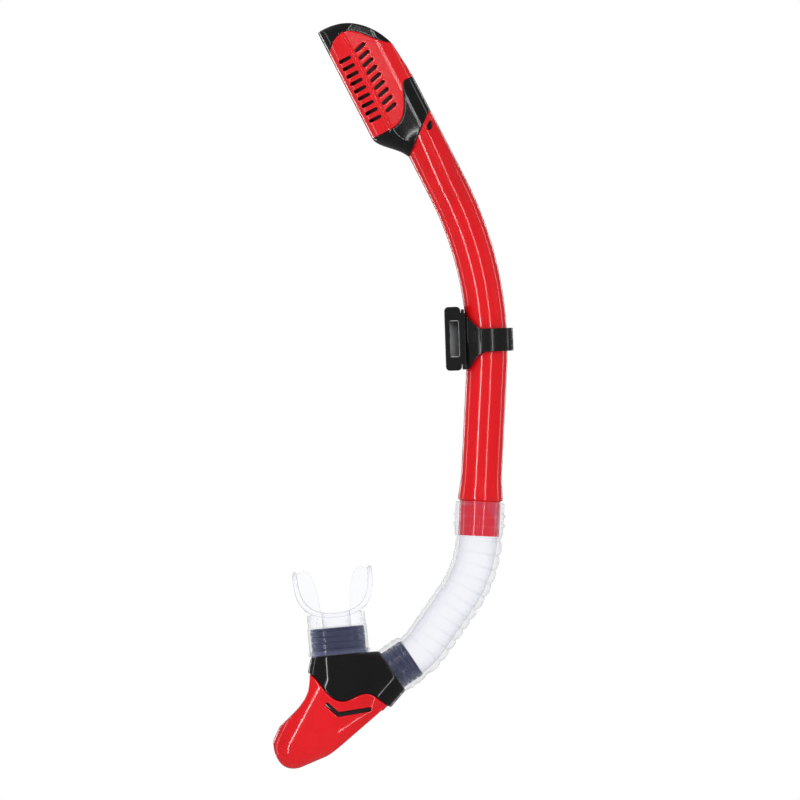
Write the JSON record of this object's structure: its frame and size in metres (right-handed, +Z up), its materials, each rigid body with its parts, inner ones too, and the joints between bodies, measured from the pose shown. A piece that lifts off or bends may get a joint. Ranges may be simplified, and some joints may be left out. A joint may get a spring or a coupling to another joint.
{
  "type": "snorkel tube",
  "caption": "Bent rigid breathing tube with a float-closed dry top, a mask-strap clip, a soft hose, a purge housing with boot and a bite mouthpiece.",
  "frame": {"origin": "centre of the mask-strap slot in the clip, where the mask strap holds the snorkel", "axes": "+Z up along the straight lower tube towards the dry top, +X from the strap slot towards the tube, +Y across the plane of the bend"},
  "size_m": [0.1305, 0.033, 0.4407],
  "materials": {
    "red_plastic": "glossy moulded",
    "black_plastic": "glossy moulded",
    "clip_plastic": "satin moulded",
    "grey_plastic": "satin moulded",
    "white_plastic": "moulded",
    "clear_silicone": "clear moulded silicone",
    "seal_silicone": "milky silicone",
    "seal_rubber": "moulded rubber",
    "steel": "drawn wire"
  },
  "bodies": {
    "tube": {"main_tube": "red_plastic", "top_collar": "black_plastic", "collar_seal": "seal_rubber", "valve_seat": "seal_silicone", "flap_pin": "steel", "float_cage": "black_plastic", "grille_cover": "red_plastic", "top_cap": "black_plastic"},
    "flap": {"flap_arm": "black_plastic", "flap_seal": "seal_silicone"},
    "float_body": {"float": "black_plastic"},
    "clip": {"clip_ring": "clip_plastic"},
    "strap_loop": {"strap_frame": "clip_plastic", "tongue_pin": "steel"},
    "tongue": {"strap_tongue": "grey_plastic"},
    "hose": {"flex_hose": "clear_silicone"},
    "lower": {"purge_housing": "black_plastic", "purge_valve_seat": "white_plastic", "purge_boot": "red_plastic", "mouthpiece": "clear_silicone", "mouthpiece_band": "clear_silicone"},
    "diaphragm": {"purge_diaphragm": "seal_silicone"}
  },
  "joints": [
    {"name": "float_rise", "type": "slide", "parent": "tube", "child": "float_body", "axis": [-0.5, 0, 0.866], "range_m": [0, 0.0073]},
    {"name": "flap_tilt", "type": "hinge", "parent": "tube", "child": "flap", "pos_m": [-0.05815, 0, 0.15284], "axis": [0, 1, 0], "range_deg": [0, 65.01]},
    {"name": "clip_slide", "type": "hinge", "parent": "tube", "child": "clip", "pos_m": [-0.19222, 0, -0.01694], "axis": [0, -1, 0], "range_deg": [-2, 18]},
    {"name": "frame_release", "type": "slide", "parent": "clip", "child": "strap_loop", "axis": [0.0811, 0, -0.9967], "range_m": [0, 0.017]},
    {"name": "tongue_swing", "type": "hinge", "parent": "strap_loop", "child": "tongue", "pos_m": [-0.00289, 0.0019, -0.00023], "axis": [-0.0811, 0, 0.9967], "range_deg": [0, 36], "stiffness_Nm_per_rad": 0.01},
    {"name": "hose_swivel", "type": "hinge", "parent": "tube", "child": "hose", "pos_m": [0.01978, 0, -0.11494], "axis": [0, 0, 1], "continuous": true},
    {"name": "hose_bend", "type": "hinge", "parent": "hose", "child": "lower", "pos_m": [0.00478, 0, -0.16094], "axis": [0, 1, 0], "range_deg": [-25, 30], "stiffness_Nm_per_rad": 0.8, "deforming": ["flex_hose"]},
    {"name": "purge_lift", "type": "slide", "parent": "lower", "child": "diaphragm", "axis": [-0.3272, 0, -0.9449], "range_m": [0, 0.0012], "stiffness_N_per_m": 60}
  ],
  "couplings": [
    {"joint": "flap_tilt", "follows": "float_rise", "rad_per_m": 155.4}
  ]
}
